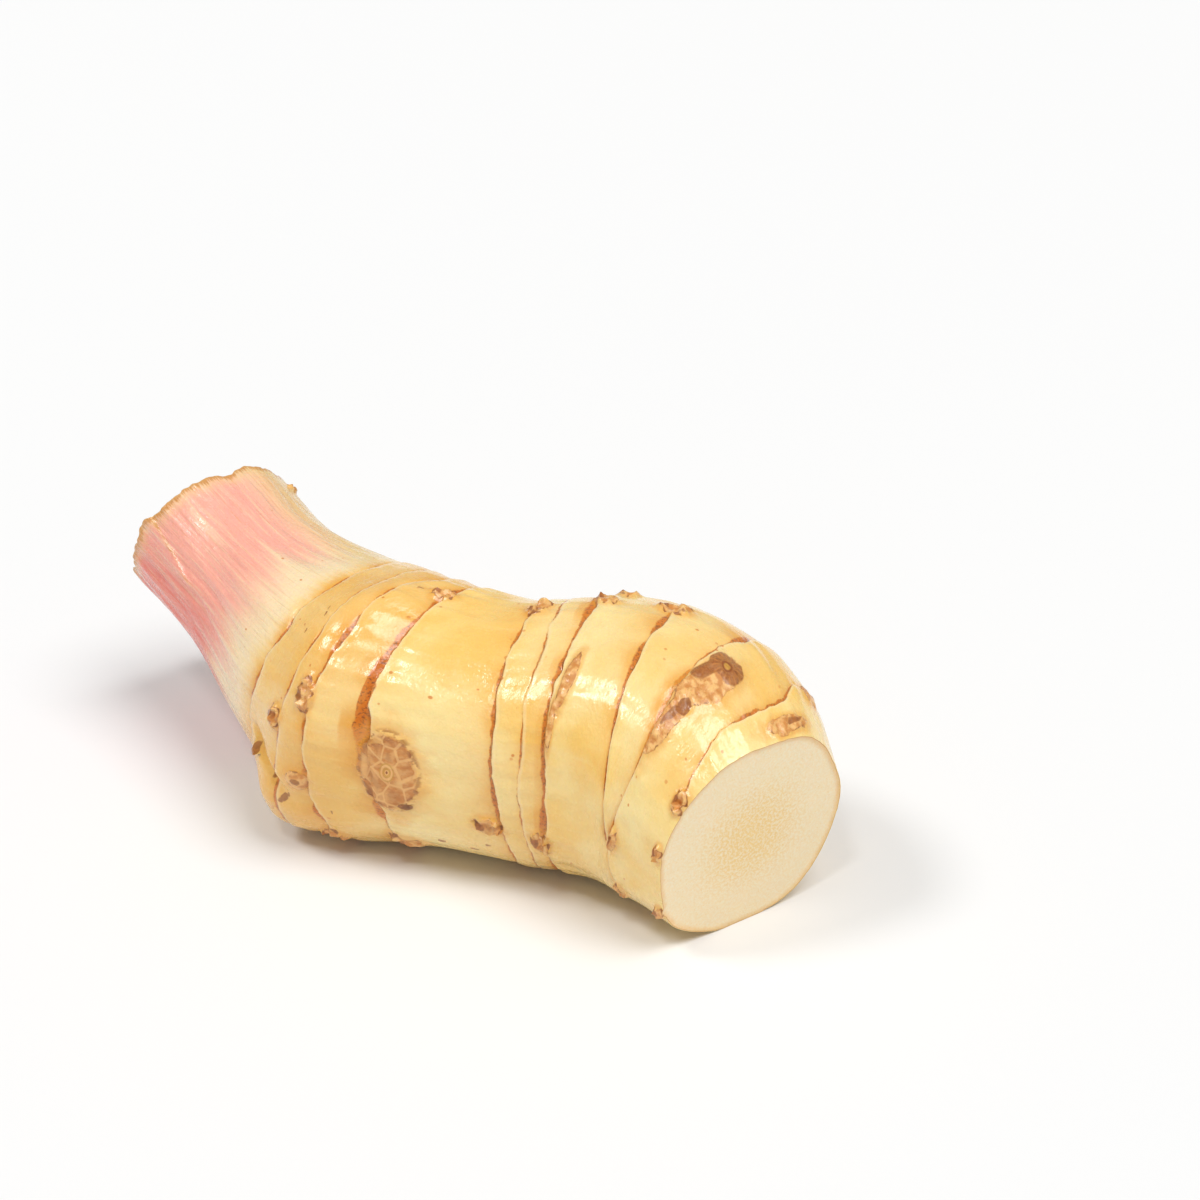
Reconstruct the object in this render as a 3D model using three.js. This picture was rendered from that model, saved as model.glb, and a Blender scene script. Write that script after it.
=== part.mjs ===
// A fresh galangal rhizome: one grown piece with ringed nodes, a pink shoot stub and a cut face.
// Millimetres, +Z up. It rests on z = 0; +X runs from the shoot stub to the cut face.
import * as THREE from "three";

// Driving dimensions.
const GIRTH = 18.9; // half thickness of the fattest internode
const SQUARENESS = 2.2; // exponent of the section: 2 is an ellipse, more is boxier
const REST_SINK = 0.55; // how much of the belly is pressed flat where it lies
const RING_STEP = 0.55; // height of a node's lip above the scar line beside it
const LIP_FADE = 2.8; // distance over which a lip sinks back into the internode
const GROOVE_WIDTH = 0.7; // half width of the groove on the stub side of a lip
const GROOVE_SHARE = 0.45; // groove depth as a share of the lip's height
const NODE_GAP = 1.3; // least distance kept between two neighbouring nodes
const CUT_MARGIN = 1.0; // least distance kept between the last node and the cut face
const MERGE_SPAN = 1.2; // distance over which a lip fades where its node runs into the next
const COLUMNS = 56; // points around each section
const RIM_ROW = 0.7; // distance of the first row of points from the stub's broken rim
const LIP_ROWS = [-0.6, 0.08, 0.6]; // rows of points on each node, as distances from its line

// How every node line wavers round the root: height in millimetres and waves per turn.
const WAVERS = [
  { height: 0.18, waves: 3 },
  { height: 0.12, waves: 7 },
];

// Sections along the root: centre, heading and tilt of the section's normal in degrees,
// and half width and half height as shares of GIRTH.
const SECTIONS = [
  { centre: [-56.2, 6.5, 26.6], heading: -18, tilt: -22, wide: 0.635, high: 0.635 },
  { centre: [-41.7, 2.7, 23.4], heading: -13, tilt: -17, wide: 0.63, high: 0.63 },
  { centre: [-26.6, 0.2, 19.6], heading: -5, tilt: -14, wide: 0.83, high: 0.825 },
  { centre: [-12.8, -1.2, 18.2], heading: 0, tilt: 0, wide: 0.947, high: 0.947 },
  { centre: [-6.4, 2.0, 17.4], heading: 5, tilt: 2, wide: 0.905, high: 0.91 },
  { centre: [4.0, 6.8, 17.2], heading: 22, tilt: 4, wide: 0.9, high: 0.9 },
  { centre: [10.4, 10.0, 17.8], heading: 22, tilt: 1, wide: 0.942, high: 0.937 },
  { centre: [19.4, 12.0, 18.4], heading: 17, tilt: -1, wide: 1.0, high: 0.968 },
  { centre: [27.0, 12.4, 17.8], heading: 1, tilt: -6, wide: 0.974, high: 0.942 },
  { centre: [33.6, 10.6, 16.6], heading: -9, tilt: -7, wide: 0.889, high: 0.873 },
  { centre: [39.6, 8.1, 14.8], heading: -14, tilt: -7, wide: 0.767, high: 0.772 },
];

// Nodes: distance along the root, lip height as a share of RING_STEP, where the line wanders
// (by = millimetres, around = degrees round the section, spread = degrees), and the rows of
// points between this node and the one before it.
const NODES = [
  { at: 32.6, lip: 1.0, rows: 8, wander: [] },
  { at: 40.2, lip: 0.35, rows: 2, wander: [] },
  { at: 44.8, lip: 1.1, rows: 1, wander: [{ by: 1.5, around: 65, spread: 14 }] },
  { at: 51.3, lip: 1.0, rows: 2, wander: [{ by: 1.2, around: 205, spread: 40 }] },
  { at: 64.0, lip: 0.9, rows: 5, wander: [{ by: 0.8, around: 230, spread: 25 }] },
  { at: 67.5, lip: 0.3, rows: 0, wander: [] },
  { at: 70.8, lip: 1.0, rows: 0, wander: [{ by: 0.7, around: 100, spread: 20 }] },
  { at: 80.6, lip: 0.9, rows: 3, wander: [{ by: 11, around: 220, spread: 55 }] },
  {
    at: 87.7,
    lip: 0.9,
    rows: 3,
    wander: [
      { by: 3.2, around: 152, spread: 31 },
      { by: 3.6, around: 235, spread: 30 },
    ],
  },
  {
    at: 96.7,
    lip: 0.8,
    rows: 3,
    wander: [
      { by: 13, around: 215, spread: 66 },
      { by: 4, around: 0, spread: 35 },
      { by: -2.3, around: 54, spread: 9 },
    ],
  },
];
const ROWS_TO_CUT = 2;

// Lumps and scars: place along and around, half sizes along and around (mm, degrees), height.
const LUMPS = [
  { name: "heel", at: 38.3, around: 222, along: 5.0, spread: 30, height: 2.6 },
  { name: "bud scar", at: 54.1, around: 177, along: 3.4, spread: 19, height: 0.45 },
  { name: "bud scar pit", at: 55.1, around: 193, along: 1.3, spread: 5, height: -0.5 },
  { name: "eye bud", at: 90.6, around: 89, along: 2.0, spread: 8, height: 0.8 },
  { name: "corky patch", at: 91.0, around: 112, along: 1.8, spread: 9, height: 0.5 },
  { name: "heel bud", at: 43.2, around: 194, along: 1.8, spread: 7, height: 0.5 },
  { name: "root scar 1", at: 38.7, around: 167, along: 1.7, spread: 6, height: 0.6 },
  { name: "root scar 2", at: 43.6, around: 152, along: 1.6, spread: 7, height: 0.7 },
  { name: "root scar 3", at: 51.2, around: 82, along: 1.7, spread: 7, height: 0.7 },
  { name: "root scar 4", at: 64.8, around: 80, along: 1.6, spread: 7, height: 0.6 },
  { name: "root scar 5", at: 63.9, around: 198, along: 1.8, spread: 8, height: 0.6 },
  { name: "root scar 6", at: 72.6, around: 72, along: 1.7, spread: 8, height: 0.7 },
  { name: "root scar 7", at: 70.2, around: 203, along: 1.8, spread: 8, height: 0.7 },
  { name: "root scar 8", at: 80.6, around: 70, along: 1.7, spread: 8, height: 0.6 },
  { name: "root scar 9", at: 91.0, around: 183, along: 1.7, spread: 8, height: 0.7 },
  { name: "root scar 10", at: 45.6, around: 320, along: 1.8, spread: 8, height: 0.8 },
  { name: "root scar 11", at: 71.4, around: 335, along: 1.8, spread: 8, height: 0.8 },
  { name: "root scar 12", at: 52.4, around: 18, along: 1.8, spread: 8, height: 0.7 },
  { name: "root scar 13", at: 88.4, around: 312, along: 1.8, spread: 8, height: 0.8 },
];

// The broken end of the shoot stub: rings of points from rim to centre, each at a share of the
// rim's radius and a depth below it, like leaf sheaths wrapped inside one another.
const SHEATHS = [
  { share: 0.9, depth: 0.1 },
  { share: 0.85, depth: 1.5 },
  { share: 0.64, depth: 1.2 },
  { share: 0.6, depth: 2.4 },
  { share: 0.36, depth: 2.1 },
  { share: 0.32, depth: 3.0 },
];
const CUT_SHARES = [0.75, 0.45, 0.2]; // rings of points across the flat cut face

const degrees = Math.PI / 180;

// Angle wrapped to the half turn either side of zero.
const wrapped = (angle) => Math.atan2(Math.sin(angle), Math.cos(angle));

// A smooth hump of height 1: centre and spread in degrees round the section.
function humpAround(angle, around, spread) {
  const off = wrapped(angle - around * degrees) / (spread * degrees);
  return Math.exp(-off * off);
}

// Distance along the root of each section, along the chords between centres.
const stops = [0];
for (let i = 1; i < SECTIONS.length; i += 1) {
  const step = new THREE.Vector3(...SECTIONS[i].centre);
  step.sub(new THREE.Vector3(...SECTIONS[i - 1].centre));
  stops.push(stops[i - 1] + step.length());
}
const rootLength = stops[stops.length - 1];

// A smooth curve through one value per section, read at a distance along the root.
function smoothCurve(values) {
  const slopes = values.slice(1).map((v, i) => (v - values[i]) / (stops[i + 1] - stops[i]));
  const tangents = values.map((_, i) => {
    if (i === 0) return slopes[0];
    if (i === values.length - 1) return slopes[i - 1];
    const before = stops[i] - stops[i - 1];
    const after = stops[i + 1] - stops[i];
    return (slopes[i - 1] * after + slopes[i] * before) / (before + after);
  });
  return (distance) => {
    let i = 0;
    while (i < stops.length - 2 && distance >= stops[i + 1]) i += 1;
    const span = stops[i + 1] - stops[i];
    const u = (distance - stops[i]) / span;
    const bend = (u - u * u) * span;
    const ease = u * u * (3 - 2 * u);
    return (
      values[i] +
      (values[i + 1] - values[i]) * ease +
      bend * ((1 - u) * tangents[i] - u * tangents[i + 1])
    );
  };
}
const centreAt = [0, 1, 2].map((axis) => smoothCurve(SECTIONS.map((s) => s.centre[axis])));
const headingAt = smoothCurve(SECTIONS.map((s) => s.heading * degrees));
const tiltAt = smoothCurve(SECTIONS.map((s) => s.tilt * degrees));
const wideAt = smoothCurve(SECTIONS.map((s) => s.wide * GIRTH));
const highAt = smoothCurve(SECTIONS.map((s) => s.high * GIRTH));

// Where a node's line runs at an angle round the section, before its neighbours limit it.
function freeLine(node, angle) {
  let line = node.at;
  WAVERS.forEach(({ height, waves }) => {
    line += height * Math.sin(waves * (angle + node.at));
  });
  node.wander.forEach(({ by, around, spread }) => {
    line += by * humpAround(angle, around, spread);
  });
  return line;
}

// The node lines at an angle, each kept clear of the next one and of the cut face.
function nodeLines(angle) {
  const lines = [];
  let limit = rootLength - CUT_MARGIN;
  for (let i = NODES.length - 1; i >= 0; i -= 1) {
    const free = freeLine(NODES[i], angle);
    const line = Math.min(free, limit);
    const open = THREE.MathUtils.clamp((limit - free) / MERGE_SPAN + 0.5, 0, 1);
    lines[i] = { line, open };
    limit = line - NODE_GAP;
  }
  return lines;
}

// Height of the skin over the smooth body at a distance and an angle.
function relief(distance, angle, lines) {
  let height = 0;
  NODES.forEach((node, i) => {
    const off = distance - lines[i].line;
    const lip = RING_STEP * node.lip * lines[i].open;
    const groove = -GROOVE_SHARE * Math.exp(-((off / GROOVE_WIDTH) ** 2));
    height += lip * (off >= 0 ? Math.exp(-off / LIP_FADE) : groove);
  });
  LUMPS.forEach((lump) => {
    const along = (distance - lump.at) / lump.along;
    height += lump.height * Math.exp(-along * along) * humpAround(angle, lump.around, lump.spread);
  });
  return height;
}

// The section's plane: its centre, its normal and its two directions.
function sectionFrame(distance) {
  const heading = headingAt(distance);
  const tilt = tiltAt(distance);
  const normal = new THREE.Vector3(
    Math.cos(tilt) * Math.cos(heading),
    Math.cos(tilt) * Math.sin(heading),
    Math.sin(tilt),
  );
  const side = new THREE.Vector3(-Math.sin(heading), Math.cos(heading), 0);
  return {
    centre: new THREE.Vector3(...centreAt.map((axis) => axis(distance))),
    normal,
    side,
    up: new THREE.Vector3().crossVectors(normal, side),
  };
}

// A point of the skin. The belly is pressed flat where the root lies.
function skinPoint(distance, angle, lines) {
  const { centre, side, up } = sectionFrame(distance);
  const across = Math.abs(Math.cos(angle)) / wideAt(distance);
  const upright = Math.abs(Math.sin(angle)) / highAt(distance);
  const smooth = (across ** SQUARENESS + upright ** SQUARENESS) ** (-1 / SQUARENESS);
  const radius = smooth + relief(distance, angle, lines);
  const point = centre
    .addScaledVector(side, radius * Math.cos(angle))
    .addScaledVector(up, radius * Math.sin(angle));
  point.z = Math.max(point.z - REST_SINK, 0);
  return point;
}

// Distances of the rows of points at one angle: three rows on every node and the rest between.
function rowDistances(lines) {
  const rows = [0, RIM_ROW];
  NODES.forEach((node, i) => {
    const from = rows[rows.length - 1];
    const to = lines[i].line + LIP_ROWS[0];
    for (let k = 1; k <= node.rows; k += 1) rows.push(from + ((to - from) * k) / (node.rows + 1));
    LIP_ROWS.forEach((offset) => rows.push(Math.min(lines[i].line + offset, rootLength)));
  });
  const from = rows[rows.length - 1];
  for (let k = 1; k <= ROWS_TO_CUT; k += 1) {
    rows.push(from + ((rootLength - from) * k) / (ROWS_TO_CUT + 1));
  }
  rows.push(rootLength);
  return rows;
}

// Rings of points, each COLUMNS long, from the stub's middle over the skin to the cut's middle.
const columns = Array.from({ length: COLUMNS }, (_, j) => {
  const angle = (j / COLUMNS) * 2 * Math.PI;
  const lines = nodeLines(angle);
  return rowDistances(lines).map((distance) => skinPoint(distance, angle, lines));
});
const rowCount = columns[0].length;
const skin = Array.from({ length: rowCount }, (_, i) => columns.map((column) => column[i]));

const middleOf = (ring) =>
  ring.reduce((sum, point) => sum.add(point), new THREE.Vector3()).divideScalar(ring.length);
const shrunk = (ring, middle, share, shift) =>
  ring.map((point) => middle.clone().lerp(point, share).add(shift));

const stubInward = sectionFrame(0).normal;
const stubMiddle = middleOf(skin[0]);
const stub = SHEATHS.map(({ share, depth }) =>
  shrunk(skin[0], stubMiddle, share, stubInward.clone().multiplyScalar(depth)),
);
const cutMiddle = middleOf(skin[rowCount - 1]);
const cut = CUT_SHARES.map((share) =>
  shrunk(skin[rowCount - 1], cutMiddle, share, new THREE.Vector3()),
);
const rings = [...stub.reverse(), ...skin, ...cut];

const points = rings.flat();
const faces = [];
for (let i = 0; i < rings.length - 1; i += 1) {
  for (let j = 0; j < COLUMNS; j += 1) {
    const next = (j + 1) % COLUMNS;
    const a = i * COLUMNS + j;
    const b = i * COLUMNS + next;
    const c = a + COLUMNS;
    const d = b + COLUMNS;
    faces.push(a, b, c, b, d, c);
  }
}
const stubTip = points.length;
const deepest = Math.max(...SHEATHS.map(({ depth }) => depth));
points.push(stubMiddle.clone().addScaledVector(stubInward, deepest));
const cutTip = points.length;
points.push(cutMiddle);
const last = (rings.length - 1) * COLUMNS;
for (let j = 0; j < COLUMNS; j += 1) {
  const next = (j + 1) % COLUMNS;
  faces.push(stubTip, next, j);
  faces.push(cutTip, last + j, last + next);
}

const geometry = new THREE.BufferGeometry();
geometry.setFromPoints(points);
geometry.setIndex(faces);
geometry.computeBoundingBox();
const box = geometry.boundingBox;
const middle = box.getCenter(new THREE.Vector3());
geometry.translate(-middle.x, -middle.y, -box.min.z);
geometry.computeVertexNormals();

const skinMaterial = new THREE.MeshStandardMaterial({
  color: 0xf0d69a,
  roughness: 0.45,
  metalness: 0,
});
const rhizome = new THREE.Mesh(geometry, skinMaterial);
rhizome.name = "galangal_rhizome";

const part = new THREE.Group();
part.name = "galangal_root";
part.add(rhizome);

export default part;
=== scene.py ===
"""Looks of a fresh galangal rhizome: ringed body, pink shoot stub, scars and a cut face."""

import math

import bpy
import numpy as np
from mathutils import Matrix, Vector


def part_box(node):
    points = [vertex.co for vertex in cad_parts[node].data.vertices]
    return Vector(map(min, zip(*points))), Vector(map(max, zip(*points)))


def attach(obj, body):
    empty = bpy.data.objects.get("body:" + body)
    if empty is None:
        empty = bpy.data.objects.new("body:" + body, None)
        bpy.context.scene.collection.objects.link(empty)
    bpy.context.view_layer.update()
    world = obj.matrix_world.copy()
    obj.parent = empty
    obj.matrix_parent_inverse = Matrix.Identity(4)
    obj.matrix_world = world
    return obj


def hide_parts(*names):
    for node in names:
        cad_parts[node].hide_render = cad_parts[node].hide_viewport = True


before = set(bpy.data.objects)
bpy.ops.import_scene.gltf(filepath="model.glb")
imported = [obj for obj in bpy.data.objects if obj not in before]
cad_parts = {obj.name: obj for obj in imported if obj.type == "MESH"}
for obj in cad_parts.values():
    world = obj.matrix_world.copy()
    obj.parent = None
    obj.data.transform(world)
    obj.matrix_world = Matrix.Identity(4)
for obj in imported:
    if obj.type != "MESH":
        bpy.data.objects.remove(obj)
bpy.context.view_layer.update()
NODE = "galangal_rhizome"
MM = 0.001

# ---------------------------------------------------------------- driving dimensions (mm)
GIRTH = 18.9  # half thickness of the fattest internode
SQUARENESS = 2.2  # exponent of the section: 2 is an ellipse, more is boxier
REST_SINK = 0.55  # how much of the belly is pressed flat where it lies
RING_STEP = 0.42  # height of a node's lip above the scar line beside it
LIP_START = 0.45  # share of the lip's height that is a sharp step
LIP_ROUND = 1.3  # distance over which the lip rounds up to its full height
LIP_FADE = 4.0  # distance over which a lip sinks back into the internode
GROOVE_WIDTH = 0.7  # half width of the groove on the stub side of a lip
GROOVE_SHARE = 0.45  # groove depth as a share of the lip's height
NODE_GAP = 1.3  # least distance kept between two neighbouring nodes
CUT_MARGIN = 1.0  # least distance kept between the last node and the cut face
MERGE_SPAN = 1.2  # distance over which a lip fades where its node runs into the next
EDGE_SOFTNESS = 0.1  # rounding of a lip's edge
STUB_TOP = 2.7  # depth of the middle of the stub's broken end below its rim
CUT_DOME = 0.10  # how far the middle of the cut face stands above its edge
SCAR_SHARE = 0.93  # mean radius at the scars as a share of GIRTH
SKIN_COLUMNS = 300  # points round each ring of the skin
SKIN_ROWS = 262  # rings of points from the stub's rim to the cut
STUB_ROWS = 40  # rings across the broken end of the stub
CUT_ROWS = 28  # rings across the cut face

# Sections along the root: centre, heading and tilt of the normal (degrees), and half width
# and half height as shares of GIRTH. They repeat the solid's own sections.
SECTIONS = np.array([
    [-56.2, 6.5, 26.6, -18, -22, 0.635, 0.635],
    [-41.7, 2.7, 23.4, -13, -17, 0.63, 0.63],
    [-26.6, 0.2, 19.6, -5, -14, 0.83, 0.825],
    [-12.8, -1.2, 18.2, 0, 0, 0.947, 0.947],
    [-6.4, 2.0, 17.4, 5, 2, 0.905, 0.91],
    [4.0, 6.8, 17.2, 22, 4, 0.9, 0.9],
    [10.4, 10.0, 17.8, 22, 1, 0.942, 0.937],
    [19.4, 12.0, 18.4, 17, -1, 1.0, 0.968],
    [27.0, 12.4, 17.8, 1, -6, 0.974, 0.942],
    [33.6, 10.6, 16.6, -9, -7, 0.889, 0.873],
    [39.6, 8.1, 14.8, -14, -7, 0.767, 0.772],
])

# Nodes: distance along, lip height as a share of RING_STEP, stain strength, width of the
# stained scar line in mm, and where the line wanders (by mm, around degrees, spread degrees).
NODES = [
    dict(at=32.6, lip=0.8, stain=0.75, line=0.26, wander=[]),
    dict(at=40.2, lip=0.35, stain=0.5, line=0.22, wander=[]),
    dict(at=44.8, lip=1.1, stain=0.9, line=0.46, wander=[(1.5, 65, 14)]),
    dict(at=51.3, lip=1.0, stain=1.2, line=0.8, wander=[(1.2, 205, 40)]),
    dict(at=64.0, lip=0.9, stain=0.8, line=0.34, wander=[(0.8, 230, 25)]),
    dict(at=67.5, lip=0.3, stain=0.35, line=0.16, wander=[]),
    dict(at=70.8, lip=1.0, stain=0.95, line=0.5, wander=[(0.7, 100, 20)]),
    dict(at=80.6, lip=0.9, stain=0.85, line=0.42, wander=[(11, 220, 55)]),
    dict(at=87.7, lip=0.9, stain=0.75, line=0.42, wander=[(3.2, 152, 31), (3.6, 235, 30)]),
    dict(at=96.7, lip=0.8, stain=0.6, line=0.3,
         wander=[(13, 215, 66), (4, 0, 35), (-2.3, 54, 9)]),
]
WAVERS = [(0.18, 3), (0.12, 7)]  # height in mm and waves per turn of every node line

# The lobe under the stub: place, half size along (mm), spread round (degrees) and height (mm).
HEEL = dict(at=38.8, around=220, along=4.4, spread=27, height=3.3)

# Scars: kind, place along (mm) and around (degrees), half sizes along and round (mm), and turn
# (degrees). A plate is the large flat bud scar, an eye a bud with rays, a bud a ringed knob, a
# peg a root stump, a root a crater, cork a raised patch, thick an orange crust on a node line,
# a stain only colour, a pit a dark hole and a ghost a faint ring in the skin.
SCARS = [
    ("plate", 53.8, 177, 2.85, 5.7, 0),
    ("pit", 55.2, 193.5, 0.7, 0.7, 0),
    ("eye", 90.6, 88, 2.7, 2.3, 0),
    ("stain", 89.2, 96, 1.4, 3.4, 24),
    ("cork", 90.8, 103, 2.8, 5.6, 12),
    ("cork", 91.0, 124, 1.6, 5.4, -6),
    ("pit", 91.4, 115, 1.1, 1.2, 0),
    ("stain", 90.9, 121, 0.8, 2.6, 10),
    ("thick", 50.6, 145, 0.75, 6.0, 0),
    ("root", 38.9, 168, 1.3, 1.7, 15),
    ("root", 43.5, 152, 1.3, 2.4, -8),
    ("bud", 43.3, 192, 1.5, 1.5, 0),
    ("root", 50.7, 84, 1.9, 1.3, 0),
    ("root", 64.8, 82, 1.6, 1.7, 0),
    ("root", 62.9, 197, 1.5, 1.5, 0),
    ("root", 72.2, 74, 2.0, 1.4, 20),
    ("root", 73.6, 58, 1.5, 1.4, 0),
    ("cork", 72.4, 127, 0.85, 4.4, 8),
    ("cork", 71.3, 146, 0.5, 3.2, 0),
    ("root", 69.9, 202, 1.5, 1.9, 0),
    ("root", 80.6, 70, 2.0, 1.6, 0),
    ("root", 90.6, 181, 1.3, 1.9, 0),
    ("root", 100.3, 141, 1.1, 1.9, 0),
    ("cork", 99.7, 72, 1.2, 4.2, 0),
    ("stain", 99.4, 66, 0.5, 1.9, 0),
    ("cork", 95.3, 44, 1.5, 2.2, 0),
    ("ghost", 57.9, 138, 1.7, 2.2, 0),
    ("root", 100.6, 169, 0.8, 1.4, 0),
    ("root", 100.6, 209, 0.9, 1.5, 0),
    ("root", 53.3, 222, 2.0, 1.7, 0),
    ("root", 45.0, 226, 1.5, 1.4, 0),
    ("peg", 35.6, 193, 0.6, 0.65, 0),
    ("root", 37.6, 238, 1.2, 1.3, 0),
    ("stain", 41.2, 204, 0.5, 1.5, 40),
    ("stain", 39.6, 197, 0.4, 1.2, 30),
    ("stain", 36.9, 128, 0.25, 1.2, -30),
    ("stain", 38.2, 117, 0.25, 1.4, -30),
    ("stain", 46.8, 206, 0.3, 0.7, 20),
    ("stain", 57.4, 214, 0.5, 0.6, 0),
    ("stain", 60.3, 217, 0.6, 0.5, 0),
    ("stain", 62.1, 211, 0.4, 0.5, 0),
    ("root", 90.4, 213, 1.6, 1.7, 0),
    ("root", 3.2, 36, 0.8, 0.9, 0),
    ("root", 45.6, 320, 1.7, 2.0, 10),
    ("root", 71.4, 335, 1.6, 2.2, -10),
    ("root", 52.4, 18, 1.7, 2.1, 0),
    ("root", 88.4, 312, 1.8, 1.9, 0),
    ("root", 64.6, 300, 1.5, 1.8, 0),
    ("root", 33.9, 350, 1.3, 1.5, 0),
    ("root", 80.9, 20, 1.7, 1.9, 0),
    ("root", 53.4, 265, 1.6, 1.6, 0),
    ("root", 71.0, 262, 1.5, 1.7, 0),
    ("bud", 58.6, 345, 2.6, 2.8, 0),
    ("bud", 93.0, 348, 2.2, 2.4, 0),
]

# Steps across the broken end of the stub: shares of the rim's radius, and depths below it (mm).
SHEATH_SHARES = [0.0, 0.30, 0.32, 0.36, 0.38, 0.58, 0.60, 0.64, 0.66, 0.83, 0.85, 0.9, 0.97, 1.0]
SHEATH_DEPTHS = [2.7, 2.5, 3.0, 3.0, 2.1, 1.9, 2.4, 2.4, 1.2, 1.0, 1.5, 1.4, 0.1, 0.0]

rng = np.random.default_rng(20)


# ---------------------------------------------------------------- shape
def wrapped(angle):
    """Angle wrapped to the half turn either side of zero."""
    return (angle + np.pi) % (2 * np.pi) - np.pi


def hump(value, spread):
    """A smooth hump of height 1 round zero."""
    return np.exp(-((value / spread) ** 2))


def ease(low, high, value):
    """Smooth step from 0 at low to 1 at high."""
    u = np.clip((value - low) / (high - low), 0, 1)
    return u * u * (3 - 2 * u)


def ripple(along, angle, size, waves=26, stretch=1.0):
    """Random smooth ripples of about unit height that close round the root.

    size is the ripples' length in mm, and stretch above 1 draws them out along the root."""
    total = np.zeros(np.broadcast(along, angle).shape)
    for _ in range(waves):
        turn = rng.uniform(0, 2 * np.pi)
        number = 2 * np.pi / size * rng.uniform(0.7, 1.4)
        rounds = round(number * math.sin(turn) * GIRTH)
        steps = number * math.cos(turn) / stretch
        total += np.sin(steps * along + rounds * angle + rng.uniform(0, 2 * np.pi))
    return total * math.sqrt(2 / waves)


STOPS = np.concatenate([[0], np.cumsum(np.linalg.norm(np.diff(SECTIONS[:, :3], axis=0), axis=1))])
ROOT_LENGTH = STOPS[-1]


def smooth_curve(values, along):
    """A smooth curve through one value per section, read at distances along the root."""
    gaps = np.diff(STOPS)
    slopes = np.diff(values) / gaps
    middle = (slopes[:-1] * gaps[1:] + slopes[1:] * gaps[:-1]) / (gaps[1:] + gaps[:-1])
    tangents = np.concatenate([slopes[:1], middle, slopes[-1:]])
    i = np.clip(np.searchsorted(STOPS, along, side="right") - 1, 0, len(gaps) - 1)
    u = (along - STOPS[i]) / gaps[i]
    rise = (values[i + 1] - values[i]) * u * u * (3 - 2 * u)
    bend = (u - u * u) * gaps[i] * ((1 - u) * tangents[i] - u * tangents[i + 1])
    return values[i] + rise + bend


def section_frame(along):
    """Centre, normal and the two directions of the section at each distance."""
    x, y, z, heading, tilt = (smooth_curve(SECTIONS[:, k], along) for k in range(5))
    heading, tilt = np.radians(heading), np.radians(tilt)
    level = np.cos(tilt)
    normal = np.stack([level * np.cos(heading), level * np.sin(heading), np.sin(tilt)], -1)
    side = np.stack([-np.sin(heading), np.cos(heading), 0 * heading], -1)
    return np.stack([x, y, z], -1), normal, side, np.cross(normal, side)


def node_lines(angle):
    """Each node's line and how far it is clear of the next one, at angles round the root."""
    lines, clear = [None] * len(NODES), [None] * len(NODES)
    limit = np.full_like(angle, ROOT_LENGTH - CUT_MARGIN)
    for i in reversed(range(len(NODES))):
        node = NODES[i]
        free = np.full_like(angle, node["at"])
        for height, waves in WAVERS:
            free = free + height * np.sin(waves * (angle + node["at"]))
        for by, around, spread in node["wander"]:
            free = free + by * hump(wrapped(angle - math.radians(around)), math.radians(spread))
        lines[i] = np.minimum(free, limit)
        clear[i] = np.clip((limit - free) / MERGE_SPAN + 0.5, 0, 1)
        limit = lines[i] - NODE_GAP
    return np.array(lines), np.array(clear)


angle = np.arange(SKIN_COLUMNS) / SKIN_COLUMNS * 2 * np.pi
lines, clear = node_lines(angle)

# Rows of points crowd towards the nodes and towards the stub's rim.
spots = np.linspace(0, ROOT_LENGTH, 4000)
crowding = 1 + sum(4.0 * hump(spots - node["at"], 0.8) for node in NODES)
crowding += 2.0 * hump(spots, 1.5) + 1.5 * hump(spots - ROOT_LENGTH, 1.0)
share = np.concatenate([[0], np.cumsum((crowding[1:] + crowding[:-1]) / 2)])
base_rows = np.interp(np.linspace(0, share[-1], SKIN_ROWS), share, spots)
anchors = [0.0] + [node["at"] for node in NODES] + [ROOT_LENGTH]
along = np.empty((SKIN_ROWS, SKIN_COLUMNS))
for j in range(SKIN_COLUMNS):
    along[:, j] = np.interp(base_rows, anchors, [0.0, *lines[:, j], ROOT_LENGTH])
theta = np.broadcast_to(angle, along.shape)

# Fine jitter makes each node line ragged without moving the rows.
jitter = np.array([ripple(0 * angle + k * 9.0, angle, 8.0, 20) for k in range(len(NODES))])
fray = np.array([ripple(0 * angle + k * 5.0, angle, 2.6, 24) for k in range(len(NODES))])
ragged = lines + 0.16 * jitter + 0.05 * fray

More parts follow.
